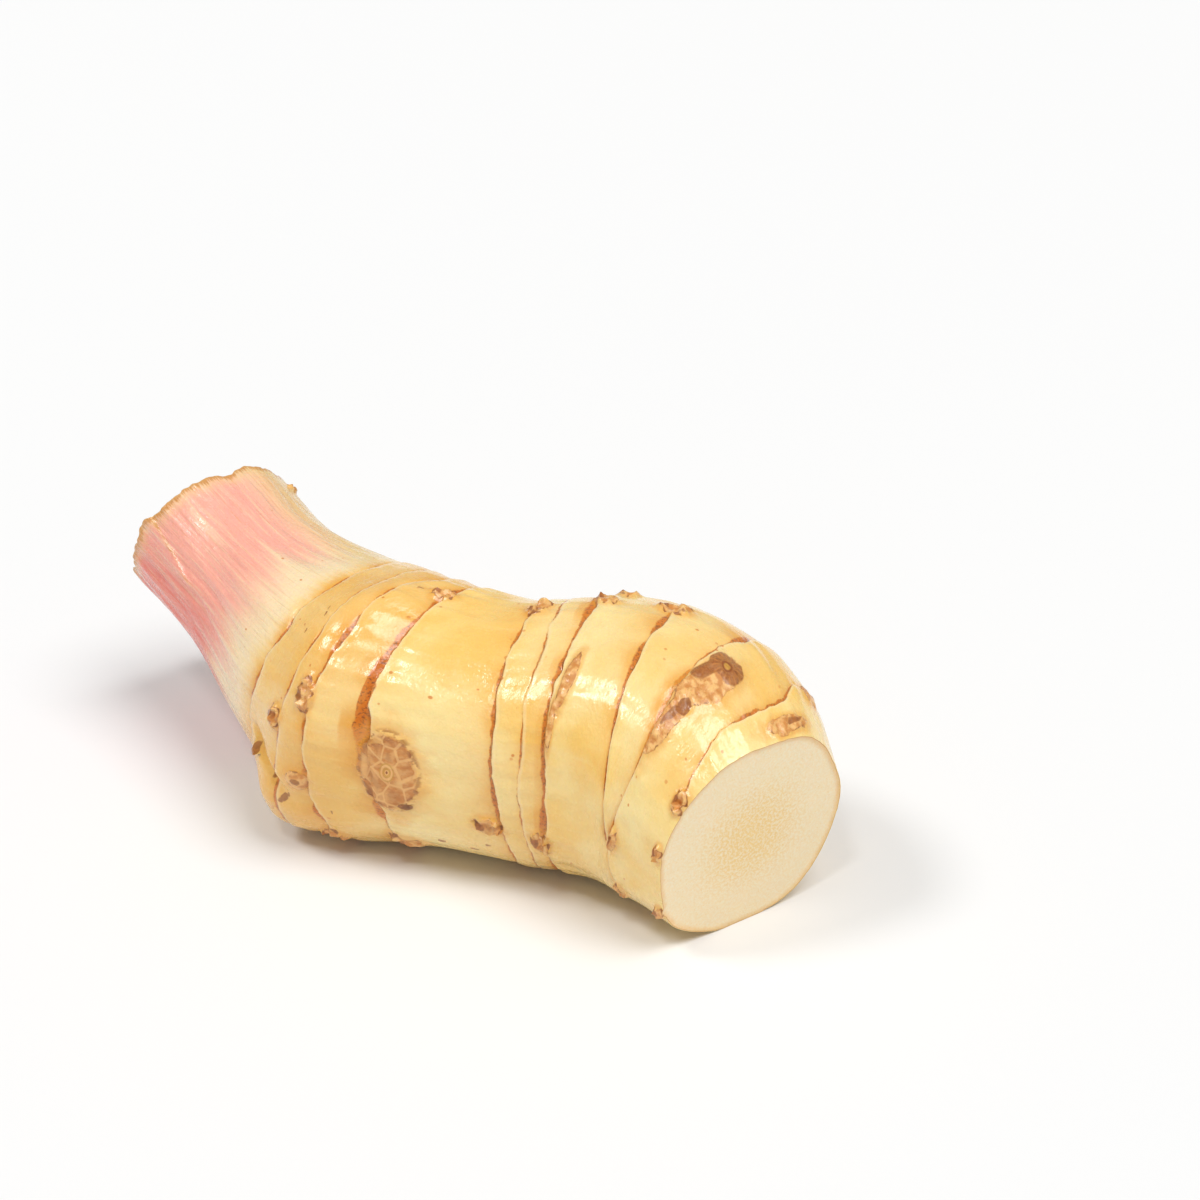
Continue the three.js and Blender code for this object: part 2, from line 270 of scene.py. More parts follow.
relief = np.zeros_like(along)
ring_gap = np.full_like(along, 9.0)
ring_tone = np.zeros_like(along)
ring_width = np.full_like(along, 0.2)
stain_and_shade_behind = np.zeros_like(along)
for k, node in enumerate(NODES):
    off = along - ragged[k]
    rough = 1 + 0.16 * fray[k] + 0.12 * jitter[k]
    to_cut = ease(0.8, 4.0, ROOT_LENGTH - lines[k])
    lip = RING_STEP * node["lip"] * clear[k] * rough * to_cut
    past = np.maximum(off, 0)
    top = (LIP_START + (1 - LIP_START) * ease(0, LIP_ROUND, past)) * np.exp(-past / LIP_FADE)
    groove = -GROOVE_SHARE * hump(np.minimum(off, 0), GROOVE_WIDTH)
    over = ease(-EDGE_SOFTNESS, EDGE_SOFTNESS, off)
    relief += lip * (over * top + (1 - over) * groove)
    near = (np.abs(off) < np.abs(ring_gap)) & (clear[k] > 0.05)
    tone = node["stain"] * clear[k] * np.clip(1 + 0.45 * jitter[k], 0.25, 1.8)
    # Painted shade, partly stain: amber that fades over 2.4 mm on the stub side of each lip, in the
    # groove under it.
    shade_behind = node["stain"] * clear[k] * np.exp(np.minimum(off, 0) / 2.4) * (off < 0)
    stain_and_shade_behind = np.maximum(stain_and_shade_behind, shade_behind * (1 + 0.2 * jitter[k]))
    ring_gap = np.where(near, off, ring_gap)
    ring_tone = np.where(near, tone, ring_tone)
    ring_width = np.where(near, node["line"] * np.clip(1 + 0.5 * jitter[k], 0.35, 2.2), ring_width)

heel_around = hump(wrapped(theta - math.radians(HEEL["around"])), math.radians(HEEL["spread"]))
relief += HEEL["height"] * hump(along - HEEL["at"], HEEL["along"]) * heel_around

# The fold between the heel lobe and the stub.
crease_around = math.radians(190) + 0.035 * (along - 36)
crease = hump(wrapped(theta - crease_around) * GIRTH, 1.1) * ease(33.5, 35.5, along)
relief -= 1.1 * crease * (1 - ease(39, 43, along))

# Pleats that cross the lips, faint lines beside them, and gentle unevenness everywhere.
by_ring = hump(ring_gap, 1.6)
relief += 0.02 * by_ring * ripple(along, theta, 1.6, 30, stretch=3.0)
body = ease(24, 34, along)
relief += 0.15 * ripple(along, theta, 18, 18)
knobs = 1 + 8 * hump(along - HEEL["at"], HEEL["along"]) * heel_around
relief += body * 0.022 * knobs * ripple(along, theta, 6, 26)
drift = along + 0.5 * ripple(along, theta, 14, 10)
relief += body * 0.005 * ripple(drift, theta, 1.8, 30, stretch=0.45)

# The stub is ribbed lengthwise, with the free edge of its outer sheath down one side.
stub = 1 - ease(22, 33, along)
relief += stub * 0.07 * ripple(along, theta, 3.2, 30, stretch=9.0)
relief += stub * 0.03 * ripple(along, theta, 1.3, 30, stretch=9.0)
relief += stub * 0.008 * ripple(along, theta, 1.6, 26, stretch=0.5)
EDGE_AROUND = math.radians(147)
edge_gap = wrapped(theta - EDGE_AROUND - 0.012 * along - 0.0005 * along**2) * 12.0
edge_reach = 1 - ease(9, 20, along)
relief += 0.30 * edge_reach * ease(-0.15, 0.15, edge_gap) * (1 - ease(3, 16, edge_gap))

# Scars: each kind has its own relief and marks the points that its colour covers.
wobble = ripple(along, theta, 3.6, 26)
fine = ripple(along, theta, 1.5, 30)
cork_depth = np.full_like(along, -1.0)
dark_depth = np.full_like(along, -1.0)
thick = np.full_like(along, -1.0)
plate_uv = np.full(along.shape + (2,), 3.0)
eye_uv = np.full(along.shape + (2,), 3.0)
for kind, at, around, half_along, half_round, turn in SCARS:
    round_mm = wrapped(theta - math.radians(around)) * GIRTH * SCAR_SHARE
    along_mm = along - at
    c, s = math.cos(math.radians(turn)), math.sin(math.radians(turn))
    u = (c * along_mm + s * round_mm) / half_along
    v = (c * round_mm - s * along_mm) / half_round
    reach = np.hypot(u, v)
    edge = reach * (1 + 0.07 * wobble + 0.02 * fine)
    inside = 1 - edge
    if kind == "plate":
        relief += 0.32 * ease(1.12, 0.9, edge) - 0.12 * hump(reach, 0.5)
        relief += 0.14 * hump(edge - 0.97, 0.09) * (1 + 0.5 * fine) - 0.10 * hump(reach, 0.12)
        cork_depth = np.maximum(cork_depth, inside)
        plate_uv = np.stack([u, v], -1)
    elif kind == "eye":
        spokes = 1 + 0.10 * np.cos(9 * np.arctan2(v, u))
        relief += 0.75 * hump(edge, 0.95) * spokes - 0.35 * hump(reach, 0.28)
        dark_depth = np.maximum(dark_depth, inside)
        eye_uv = np.stack([u, v], -1)
    elif kind == "cork":
        relief += 0.22 * ease(1.15, 0.8, edge) * (1 + 0.35 * fine + 0.25 * wobble)
        cork_depth = np.maximum(cork_depth, inside)
    elif kind == "ghost":
        relief += 0.07 * hump(edge - 0.9, 0.12) - 0.05 * hump(reach, 0.5)
    elif kind == "stain":
        dark_depth = np.maximum(dark_depth, inside * 0.5)
    elif kind == "thick":
        thick = np.maximum(thick, inside)
        relief += 0.16 * ease(1.2, 0.7, edge)
    elif kind == "pit":
        relief -= 0.75 * hump(reach, 0.8)
        relief += 0.25 * hump(reach - 1.15, 0.25)
        dark_depth = np.maximum(dark_depth, inside * 1.2)
    elif kind == "bud":
        relief += 0.85 * hump(edge, 0.8) + 0.12 * np.cos(9 * edge) * ease(1.2, 0.6, edge)
        cork_depth = np.maximum(cork_depth, inside)
        dark_depth = np.maximum(dark_depth, 0.45 - edge)
    elif kind == "peg":
        relief += 1.1 * ease(1.15, 0.75, edge)
        dark_depth = np.maximum(dark_depth, inside + 0.15)
    else:
        relief += 0.55 * ease(1.2, 0.75, edge) * (1 + 0.2 * fine)
        relief -= 0.38 * ease(0.62, 0.25, reach) * (1 + 0.5 * wobble)
        relief += 0.16 * hump(edge - 0.85, 0.12) * fine
        cork_depth = np.maximum(cork_depth, inside)
        rim_dark = 0.42 - np.hypot(u + 0.62, 0.7 * v) * (1 + 0.25 * wobble)
        dark_depth = np.maximum(dark_depth, rim_dark)
        dark_depth = np.maximum(dark_depth, 0.26 - np.abs(edge - 0.95) * 1.6 - 0.11 * (1 + fine))

# Ragged rim of the stub.
rim_cut = 0.28 * ripple(0 * angle, angle, 9.0, 14) + 0.09 * ripple(0 * angle, angle, 2.2, 24)
rim_cut -= 2.4 * hump(wrapped(angle - math.radians(206)), math.radians(5))
shifted = along + rim_cut * (1 - ease(0, 6, along))


def skin_points(distance, round_angle, height):
    """Points of the skin, with the belly pressed flat where the root lies."""
    centre, _, side, up = section_frame(distance)
    wide = smooth_curve(SECTIONS[:, 5], distance) * GIRTH
    high = smooth_curve(SECTIONS[:, 6], distance) * GIRTH
    across = np.abs(np.cos(round_angle)) / wide
    upright = np.abs(np.sin(round_angle)) / high
    smooth = (across**SQUARENESS + upright**SQUARENESS) ** (-1 / SQUARENESS)
    radius = (smooth + height)[..., None]
    points = centre + radius * (
        np.cos(round_angle)[..., None] * side + np.sin(round_angle)[..., None] * up)
    points[..., 2] = np.maximum(points[..., 2] - REST_SINK, 0)
    return points


skin = skin_points(shifted, theta, relief)

# The broken end of the stub, from the middle out to the rim.
_, stub_normal, _, _ = section_frame(np.array(0.0))
rim = skin[0]
stub_middle = rim.mean(axis=0)
stub_shares = np.linspace(0.02, 0.985, STUB_ROWS)
spiral = 0.030 * np.sin(angle + 1.0) + 0.012 * np.sin(3 * angle)
stub_rings = []
for s in stub_shares:
    looked_up = np.clip(s + spiral * (1 - s) * 4, 0, 1)
    depth = np.interp(looked_up, SHEATH_SHARES, SHEATH_DEPTHS)
    depth = depth + 0.10 * ripple(0 * angle + s * 12, angle * 1.0, 3.0, 12) * (1 - s * 0.6)
    ring = stub_middle + s * (rim - stub_middle) + depth[:, None] * stub_normal
    stub_rings.append(ring)

# The cut face, from the skin in to the middle: a hair rough, with the skin standing proud.
_, cut_normal, _, _ = section_frame(np.array(ROOT_LENGTH))
outer = skin[-1]
cut_middle = outer.mean(axis=0)
cut_shares = np.concatenate([[0.988, 0.972], np.linspace(0.95, 0.03, CUT_ROWS - 2)])
cut_rings = []
for s in cut_shares:
    dip = 0.16 * ease(0.995, 0.96, s) - CUT_DOME * (1 - s * s)
    rough = 0.02 * s * ripple(0 * angle + s * 14, angle, 2.4, 16) * ease(1.0, 0.9, s)
    cut_rings.append(cut_middle + s * (outer - cut_middle) - (dip + rough)[:, None] * cut_normal)

rings = np.concatenate([np.array(stub_rings), skin, np.array(cut_rings)])
ring_count = len(rings)
last_skin = STUB_ROWS + SKIN_ROWS - 1


def grown(values, stub_value, cut_value):
    """A value per skin point, carried over the two ends."""
    shape = (SKIN_COLUMNS,) + values.shape[2:]
    before = np.full((STUB_ROWS,) + shape, stub_value, float)
    after = np.full((CUT_ROWS,) + shape, cut_value, float)
    return np.concatenate([before, values, after])


end_share = grown(np.ones_like(along), 1, 1)
end_share[:STUB_ROWS] = stub_shares[:, None]
end_share[last_skin + 1:] = cut_shares[:, None]
end_kind = grown(np.zeros_like(along), 1, 2)

# Tip vertices close both ends.
stub_tip = stub_middle + STUB_TOP * stub_normal
cut_tip = cut_middle + CUT_DOME * cut_normal
points = np.concatenate([rings.reshape(-1, 3), [stub_tip, cut_tip]])
cad_low, cad_high = (np.array(corner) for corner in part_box(NODE))
own_middle = np.array([(skin[..., k].min() + skin[..., k].max()) / 2 for k in range(3)])
cad_middle = (cad_low + cad_high) / 2
placed = (points - own_middle) * MM
placed[:, :2] += cad_middle[:2]
placed[:, 2] = points[:, 2] * MM + cad_low[2]

index = np.arange(ring_count * SKIN_COLUMNS).reshape(ring_count, SKIN_COLUMNS)
right = np.roll(index, -1, axis=1)
quads = np.stack([index[:-1], right[:-1], right[1:], index[1:]], -1).reshape(-1, 4)
tip_a, tip_b = ring_count * SKIN_COLUMNS, ring_count * SKIN_COLUMNS + 1
fan_a = np.stack([np.full(SKIN_COLUMNS, tip_a), right[0], index[0]], -1)
fan_b = np.stack([np.full(SKIN_COLUMNS, tip_b), index[-1], right[-1]], -1)

mesh = bpy.data.meshes.new("galangal_skin")
mesh.from_pydata(placed.tolist(), [], [*quads.tolist(), *fan_a.tolist(), *fan_b.tolist()])
mesh.validate()
mesh.shade_smooth()
mesh.set_sharp_from_angle(angle=math.radians(55))
root = bpy.data.objects.new("galangal_skin", mesh)
bpy.context.scene.collection.objects.link(root)


def attribute(name, values, tips=(0.0, 0.0)):
    """Stores one number, or one vector, per point for the material to read."""
    flat = values.reshape(ring_count * SKIN_COLUMNS, -1)
    if flat.shape[1] == 1:
        layer = mesh.attributes.new(name, "FLOAT", "POINT")
        layer.data.foreach_set("value", np.concatenate([flat[:, 0], tips]).astype(np.float32))
        return
    padded = np.zeros((len(flat) + 2, 3))
    padded[:-2, :flat.shape[1]] = flat
    layer = mesh.attributes.new(name, "FLOAT_VECTOR", "POINT")
    layer.data.foreach_set("vector", padded.astype(np.float32).ravel())


attribute("ring_near", grown(np.abs(ring_gap), 9, 9), (9, 9))
attribute("ring_side", grown(np.where(ring_gap < 0, -1.0, 1.0), 1, 1), (1, 1))
attribute("stain_and_shade_behind", grown(stain_and_shade_behind, 0, 0))
attribute("ring_tone", grown(ring_tone, 0, 0))
attribute("ring_width", grown(ring_width, 0.2, 0.2), (0.2, 0.2))
attribute("cork", grown(np.clip(cork_depth, -1, 1), -1, -1), (-1, -1))
attribute("dark", grown(np.clip(dark_depth, -1, 1), -1, -1), (-1, -1))
attribute("thick", grown(np.clip(thick, -1, 1), -1, -1), (-1, -1))
attribute("along", grown(shifted - rim_cut, 0, ROOT_LENGTH), (0, ROOT_LENGTH))
attribute("edge_gap", grown(np.clip(edge_gap, -9, 9), 9, 9), (9, 9))
attribute("end_share", end_share, (0, 0))
attribute("end_kind", end_kind, (1, 2))
attribute("plate_uv", grown(np.clip(plate_uv, -3, 3), 3, 3))
attribute("eye_uv", grown(np.clip(eye_uv, -3, 3), 3, 3))
roll = np.stack([GIRTH * np.cos(theta), GIRTH * np.sin(theta), along], -1)
ends = grown(roll, 0, 0)
for ring_index in [*range(STUB_ROWS), *range(last_skin + 1, ring_count)]:
    s = end_share[ring_index][:, None]
    z = 0 if ring_index < STUB_ROWS else ROOT_LENGTH
    flat_ring = np.concatenate([GIRTH * s * np.cos(angle)[:, None],
                                GIRTH * s * np.sin(angle)[:, None], 0 * s + z], axis=1)
    ends[ring_index] = flat_ring
attribute("roll", ends)


# ---------------------------------------------------------------- materials
def srgb(red, green, blue):
    """A display colour, 0 to 255, as the linear colour that shaders take."""
    def channel(value):
        value /= 255
        return value / 12.92 if value <= 0.04045 else ((value + 0.055) / 1.055) ** 2.4

    return channel(red), channel(green), channel(blue), 1.0


class Shade:
    """A short way to wire a material's nodes."""

    def __init__(self, name):
        self.material = bpy.data.materials.new(name)
        self.material.use_nodes = True
        self.tree = self.material.node_tree
        self.shader = self.tree.nodes["Principled BSDF"]

    def link(self, value, socket):
        if isinstance(value, bpy.types.NodeSocket):
            self.tree.links.new(value, socket)
        else:
            socket.default_value = value

    def number(self, name):
        node = self.tree.nodes.new("ShaderNodeAttribute")
        node.attribute_name = name
        return node.outputs["Fac"]

    def vector(self, name):
        node = self.tree.nodes.new("ShaderNodeAttribute")
        node.attribute_name = name
        return node.outputs["Vector"]

    def math(self, kind, a, b=0.0, clamp=False):
        node = self.tree.nodes.new("ShaderNodeMath")
        node.operation = kind
        node.use_clamp = clamp
        self.link(a, node.inputs[0])
        self.link(b, node.inputs[1])
        return node.outputs[0]

    def add(self, a, b):
        return self.math("ADD", a, b)

    def times(self, a, b):
        return self.math("MULTIPLY", a, b)

    def step(self, value, low, high, to_low=0.0, to_high=1.0):
        """Smooth step from to_low at low to to_high at high."""
        node = self.tree.nodes.new("ShaderNodeMapRange")
        node.interpolation_type = "SMOOTHSTEP"
        self.link(value, node.inputs["Value"])
        self.link(low, node.inputs["From Min"])
        self.link(high, node.inputs["From Max"])
        self.link(to_low, node.inputs["To Min"])
        self.link(to_high, node.inputs["To Max"])
        return node.outputs["Result"]

    def mix(self, factor, a, b):
        node = self.tree.nodes.new("ShaderNodeMix")
        node.data_type = "RGBA"
        self.link(factor, node.inputs[0])
        self.link(a, node.inputs[6])
        self.link(b, node.inputs[7])
        return node.outputs[2]

    def scaled(self, vector, x, y, z):
        node = self.tree.nodes.new("ShaderNodeVectorMath")
        node.operation = "MULTIPLY"
        self.link(vector, node.inputs[0])
        node.inputs[1].default_value = (x, y, z)
        return node.outputs[0]

    def length(self, vector):
        node = self.tree.nodes.new("ShaderNodeVectorMath")
        node.operation = "LENGTH"
        self.link(vector, node.inputs[0])
        return node.outputs["Value"]

    def parts(self, vector):
        node = self.tree.nodes.new("ShaderNodeSeparateXYZ")
        self.link(vector, node.inputs[0])
        return node.outputs

    def noise(self, vector, scale, detail=3.0, rough=0.5, warp=0.0):
        node = self.tree.nodes.new("ShaderNodeTexNoise")
        self.link(vector, node.inputs["Vector"])
        node.inputs["Scale"].default_value = scale
        node.inputs["Detail"].default_value = detail
        node.inputs["Roughness"].default_value = rough
        node.inputs["Distortion"].default_value = warp
        return node.outputs["Fac"]

    def cells(self, vector, scale, feature="F1", outputs=("Distance",), random=1.0):
        node = self.tree.nodes.new("ShaderNodeTexVoronoi")
        node.feature = feature
        self.link(vector, node.inputs["Vector"])
        node.inputs["Scale"].default_value = scale
        node.inputs["Randomness"].default_value = random
        wanted = [node.outputs[name] for name in outputs]
        return wanted if len(wanted) > 1 else wanted[0]

    def bump(self, height, strength, distance, normal=None):
        node = self.tree.nodes.new("ShaderNodeBump")
        node.inputs["Strength"].default_value = strength
        node.inputs["Distance"].default_value = distance
        self.link(height, node.inputs["Height"])
        if normal is not None:
            self.link(normal, node.inputs["Normal"])
        return node.outputs[0]


CREAM = srgb(253, 226, 158)
BUTTER = srgb(247, 202, 110)
AMBER = srgb(232, 164, 62)
PALE_LIP_AND_HIGHLIGHT = srgb(252, 222, 170)
STAIN = srgb(208, 112, 18)
STAIN_DARK = srgb(146, 76, 22)
CORK = srgb(206, 134, 62)
CORK_PALE = srgb(240, 188, 118)
PLATE = srgb(196, 120, 48)
SCAR_BROWN = srgb(146, 78, 22)
SCAR_UMBER = srgb(166, 98, 38)
EYE_YELLOW = srgb(205, 150, 60)
PINK = srgb(252, 176, 156)
ROSE = srgb(226, 84, 76)
SHEATH_CREAM = srgb(248, 222, 178)
SHEATH_STRAW = srgb(236, 204, 132)
RIM_BROWN = srgb(204, 140, 70)
FLESH = srgb(253, 227, 182)
FLESH_PALE = srgb(254, 238, 208)
FLESH_CORE = srgb(246, 206, 126)
FLESH_EDGE = srgb(232, 178, 92)


def skin_material():
    """Skin, scars, cut flesh and torn stub in one material, told apart by the point values."""
    s = Shade("galangal_skin")
    roll = s.vector("roll")
    along = s.number("along")
    ring_near = s.number("ring_near")
    ring_side = s.number("ring_side")
    before = s.add(ring_near, s.times(s.step(ring_side, -0.2, 0.2), 9.0))
    after = s.add(ring_near, s.times(s.step(ring_side, 0.2, -0.2), 9.0))
    ring_tone = s.number("ring_tone")
    ring_width = s.number("ring_width")
    end_kind = s.number("end_kind")

    # Ground colour: cream with butter-yellow clouds and amber just behind each node, partly stain
    # and partly painted shade in the groove under the lip. A painted warm bounce tints the neck,
    # and faint painted highlights streak the wrinkles.
    clouds = s.noise(roll, 0.085, 2, 0.55)
    mottle = s.noise(roll, 0.42, 2, 0.6)
    ground = s.mix(s.step(clouds, 0.30, 0.72), CREAM, BUTTER)
    ground = s.mix(s.times(s.step(mottle, 0.45, 0.85), 0.16), ground, AMBER)
    # Amber behind each node: partly stain, partly painted shade in the groove under the lip.
    ground = s.mix(s.math("MULTIPLY", s.number("stain_and_shade_behind"), 0.6, True), ground, AMBER)
    # Painted light: an amber tint on the neck, 28 to 52 mm along, stands in for warm light bounced
    # onto it.
    painted_bounce_neck = s.times(s.step(along, 28.0, 34.0), s.step(along, 52.0, 44.0))
    ground = s.mix(s.times(painted_bounce_neck, 0.35), ground, AMBER)
    # Painted highlight: faint pale streaks along the root stand in for glints on the fine wrinkles.
    painted_wrinkle_glints = s.noise(s.scaled(roll, 0.9, 0.9, 0.12), 1.0, 2, 0.6)
    ground = s.mix(s.step(painted_wrinkle_glints, 0.52, 0.78, 0.0, 0.2), ground, CREAM)

    # Shoot stub: pink and rose in front, straw towards the top, cream at both ends.
    x, y, _ = s.parts(roll)
    fibre = s.noise(s.scaled(roll, 1.0, 1.0, 0.06), 0.9, 3, 0.65)
    fibre_fine = s.noise(s.scaled(roll, 1.0, 1.0, 0.05), 2.6, 2, 0.7)
    blush = s.noise(s.scaled(roll, 1.0, 1.0, 0.35), 0.11, 2, 0.5)
    wander = s.add(along, s.times(s.add(blush, -0.5), 14.0))
    wander = s.add(wander, s.times(s.add(fibre, -0.5), 10.0))
    pink_reach = s.times(s.step(wander, 29.0, 17.0), s.step(wander, -3.0, 2.5, 0.35, 1.0))
    top = s.step(s.add(s.times(y, 0.70), s.times(x, 0.72)), 13.0, 19.5)
    pink_amount = s.times(pink_reach, s.math("SUBTRACT", 1.0, s.times(top, 0.85)))
    rose_side = s.step(s.add(s.times(y, -0.62), s.times(x, -0.78)), 4.0, 19.0)
    rose_amount = s.times(rose_side, s.times(pink_amount, s.step(fibre, 0.32, 0.62, 0.55, 1.0)))
    sheath = s.mix(top, SHEATH_CREAM, SHEATH_STRAW)
    sheath = s.mix(pink_amount, sheath, PINK)
    sheath = s.mix(s.times(rose_amount, 0.9), sheath, ROSE)
    sheath = s.mix(s.step(fibre, 0.50, 0.72, 0.0, 0.42), sheath, SHEATH_CREAM)
    sheath = s.mix(s.step(fibre_fine, 0.54, 0.70, 0.0, 0.42), sheath, SHEATH_CREAM)
    sheath = s.mix(s.step(fibre_fine, 0.42, 0.28, 0.0, 0.30), sheath, RIM_BROWN)
    edge_gap = s.number("edge_gap")
    edge = s.times(s.step(edge_gap, 0.42, 0.0), s.step(edge_gap, -0.30, 0.0))
    edge = s.times(edge, s.step(along, 15.0, 6.0))
    sheath = s.mix(s.times(edge, s.step(fibre, 0.3, 0.6, 0.5, 0.95)), sheath, RIM_BROWN)
    rim_noise = s.add(along, s.times(s.add(fibre_fine, -0.5), 3.4))
    sheath = s.mix(s.step(rim_noise, 3.2, 0.4, 0.0, 0.45), sheath, SHEATH_STRAW)
    sheath = s.mix(s.step(rim_noise, 1.3, 0.3, 0.0, 0.85), sheath, RIM_BROWN)
    on_stub = s.step(s.add(along, s.times(s.add(fibre, -0.5), 5.0)), 33.0, 28.0)
    colour = s.mix(on_stub, ground, sheath)

    # Node lines: a stained groove with a ragged edge, and a pale band on the lip beside it, partly
    # the lip's paler skin and partly a painted highlight along its edge.
    crumb = s.noise(roll, 1.0, 2, 0.55)
    crumb_fine = s.noise(roll, 3.2, 1, 0.55)
    uneven = s.times(s.add(crumb, -0.5), 0.5)
    lip_gap = s.add(after, s.times(uneven, 0.4))
    # Pale lip band: partly the lip's own paler skin, partly a painted highlight along the lip's
    # edge.
    lip = s.times(s.step(lip_gap, 0.02, 0.10), s.step(lip_gap, 0.62, 0.22))
    colour = s.mix(s.times(lip, 0.42), colour, PALE_LIP_AND_HIGHLIGHT)
    halo = s.step(before, s.times(ring_width, 4.5), s.times(ring_width, 0.8))
    colour = s.mix(s.times(halo, s.times(ring_tone, 0.38)), colour, AMBER)
    line_gap = s.add(before, uneven)
    line = s.step(line_gap, s.times(ring_width, 1.3), s.times(ring_width, 0.85))
    broken = s.step(s.add(s.noise(roll, 0.30, 2, 0.5), s.times(ring_tone, 0.38)), 0.42, 0.68)
    line = s.times(line, broken)
    stain = s.mix(s.step(crumb_fine, 0.48, 0.70), STAIN, STAIN_DARK)
    colour = s.mix(s.math("MULTIPLY", line, 0.85, True), colour, stain)
    orange = s.add(s.number("thick"), s.times(s.add(crumb, -0.5), 0.5))
    colour = s.mix(s.step(orange, 0.0, 0.2, 0.0, 0.85), colour, stain)
    hair = s.step(ring_near, 0.16, 0.07)
    hair = s.times(hair, s.step(s.noise(roll, 0.5, 3, 0.6), 0.38, 0.54))
    colour = s.mix(s.times(hair, s.math("MULTIPLY", ring_tone, 0.75, True)), colour, STAIN_DARK)

    # Small specks, thicker beside the nodes.
    speck, speck_colour = s.cells(roll, 0.62, outputs=("Distance", "Color"))
    speck_pick = s.parts(speck_colour)[0]
    near_ring = s.step(ring_near, 3.0, 0.5, 0.0, 0.22)
    chosen = s.step(speck_pick, s.math("SUBTRACT", 0.90, near_ring), 0.97)
    spot = s.times(s.step(s.add(speck, s.times(crumb, 0.22)), 0.29, 0.20), chosen)
    colour = s.mix(s.times(spot, 0.75), colour, STAIN)

    # Scars: tan cork with pale skin folds and a broken brown outline.
    cork = s.add(s.number("cork"), s.times(s.add(crumb, -0.5), 0.22))
    on_cork = s.step(cork, 0.02, 0.12)
    tan = s.mix(s.step(crumb, 0.38, 0.64), CORK, CORK_PALE)
    tan = s.mix(s.step(crumb_fine, 0.64, 0.74, 0.0, 0.35), tan, SCAR_BROWN)
    rim_band = s.times(s.step(cork, -0.04, 0.05), s.step(cork, 0.22, 0.08))
    rim_spots = s.step(s.noise(roll, 1.1, 3, 0.6), 0.50, 0.60)
    tan = s.mix(s.times(rim_band, rim_spots), tan, SCAR_BROWN)
    colour = s.mix(s.times(s.step(cork, -0.7, 0.05), 0.55), colour, AMBER)
    colour = s.mix(s.times(on_cork, 0.92), colour, tan)

    # The large bud scar: polygon folds round a small ringed eye.
    plate = s.vector("plate_uv")
    plate_reach = s.length(plate)
    on_plate = s.step(plate_reach, 1.0, 0.9)
    petals = s.cells(s.scaled(plate, 1.0, 1.15, 1.0), 1.75, "DISTANCE_TO_EDGE", random=0.85)
    petal_line = s.step(petals, 0.07, 0.025)
    colour = s.mix(s.times(on_plate, 0.45), colour, PLATE)
    colour = s.mix(s.times(s.step(petals, 0.16, 0.30), s.times(on_plate, 0.28)), colour, SCAR_BROWN)
    plate_rim = s.times(s.step(plate_reach, 0.84, 0.96), s.step(plate_reach, 1.14, 1.02))
    plate_rim = s.times(plate_rim, s.step(crumb, 0.44, 0.54))
    colour = s.mix(s.times(plate_rim, 0.6), colour, SCAR_BROWN)
    colour = s.mix(s.times(s.times(petal_line, on_plate), 0.7), colour, CORK_PALE)
    eye_rings = s.math("SINE", s.times(plate_reach, 46.0))
    eye_zone = s.step(plate_reach, 0.27, 0.22)
    eye_colour = s.mix(s.step(eye_rings, -0.2, 0.5), EYE_YELLOW, CORK_PALE)
    colour = s.mix(s.times(eye_zone, 0.75), colour, eye_colour)
    colour = s.mix(s.step(plate_reach, 0.05, 0.02), colour, SCAR_BROWN)

    # Dark scars, and the purple bud with its yellow centre and rays.
    dark = s.add(s.number("dark"), s.times(s.add(crumb, -0.5), 0.24))
    brown = s.mix(s.step(crumb_fine, 0.35, 0.62), SCAR_BROWN, SCAR_UMBER)
    colour = s.mix(s.step(dark, 0.04, 0.16, 0.0, 0.85), colour, brown)
    eye = s.vector("eye_uv")
    eye_reach = s.length(eye)
    eye_x, eye_y, _ = s.parts(eye)
    rays = s.math("SINE", s.times(s.math("ARCTAN2", eye_y, eye_x), 15.0))
    ray_zone = s.times(s.step(rays, 0.3, 0.9), s.step(eye_reach, 0.35, 0.6))
    ray_zone = s.times(ray_zone, s.step(eye_reach, 1.05, 0.85))
    colour = s.mix(s.times(ray_zone, 0.45), colour, CORK)
    colour = s.mix(s.step(eye_reach, 0.26, 0.12), colour, EYE_YELLOW)
    colour = s.mix(s.times(s.step(eye_reach, 0.34, 0.28), s.step(eye_reach, 0.18, 0.24)),
                   colour, SCAR_BROWN)

    # Cut flesh: pale and fibrous, yellower in the middle, with a golden skin edge.
    end_share = s.number("end_share")
    fibres = s.noise(s.scaled(roll, 1, 1, 0), 1.9, 2, 0.75)
    dots = s.cells(s.scaled(roll, 1, 1, 0), 1.5)
    flesh = s.mix(s.step(s.add(end_share, s.times(s.add(fibres, -0.5), 0.9)), 0.72, 0.10, 0.0, 0.8),
                  FLESH, FLESH_CORE)
    flesh = s.mix(s.step(fibres, 0.44, 0.62, 0.0, 0.6), flesh, FLESH_PALE)
    flesh = s.mix(s.step(dots, 0.24, 0.10, 0.0, 0.5), flesh, FLESH_CORE)
    edge_noise = s.add(end_share, s.times(s.add(s.noise(roll, 0.5, 3, 0.6), -0.5), 0.035))
    flesh = s.mix(s.step(edge_noise, 0.93, 0.995, 0.0, 0.6), flesh, FLESH_EDGE)
    on_cut = s.step(end_kind, 1.5, 1.6)
    colour = s.mix(on_cut, colour, flesh)

